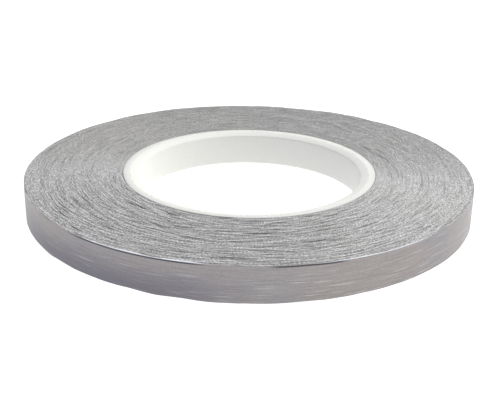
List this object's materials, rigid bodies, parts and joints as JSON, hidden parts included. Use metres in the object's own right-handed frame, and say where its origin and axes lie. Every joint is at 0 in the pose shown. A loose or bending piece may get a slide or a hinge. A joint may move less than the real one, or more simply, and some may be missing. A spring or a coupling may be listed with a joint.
{
  "type": "foil tape roll",
  "caption": "Roll of narrow adhesive-backed foil tape with a release liner, wound on a ring-shaped plastic core, with a free end that peels off.",
  "frame": {"origin": "on the axis of the roll, in the plane of the surface that the roll lies on", "axes": "+Z along the axis of the roll, up through the bore; +X and +Y in the plane of the roll, with the tape's free end on the +Y side"},
  "size_m": [0.0832, 0.0833, 0.0069],
  "materials": {
    "core_plastic": "satin",
    "acrylic_adhesive": "gloss",
    "liner_paper": "matte",
    "tinned_foil": "satin"
  },
  "bodies": {
    "roll": {"core": "core_plastic", "start_tack": "acrylic_adhesive", "inner_turns": "tinned_foil", "release_liner": "liner_paper", "adhesive_film": "acrylic_adhesive", "foil_strip": "tinned_foil"},
    "tail": {"liner_tail": "liner_paper", "adhesive_tail": "acrylic_adhesive", "foil_tail": "tinned_foil"}
  },
  "joints": [
    {"name": "tail_peel", "type": "hinge", "parent": "roll", "child": "tail", "pos_m": [-0.01782, 0.03775, 0.00378], "axis": [0, 0, -1], "range_deg": [0, 80]}
  ]
}
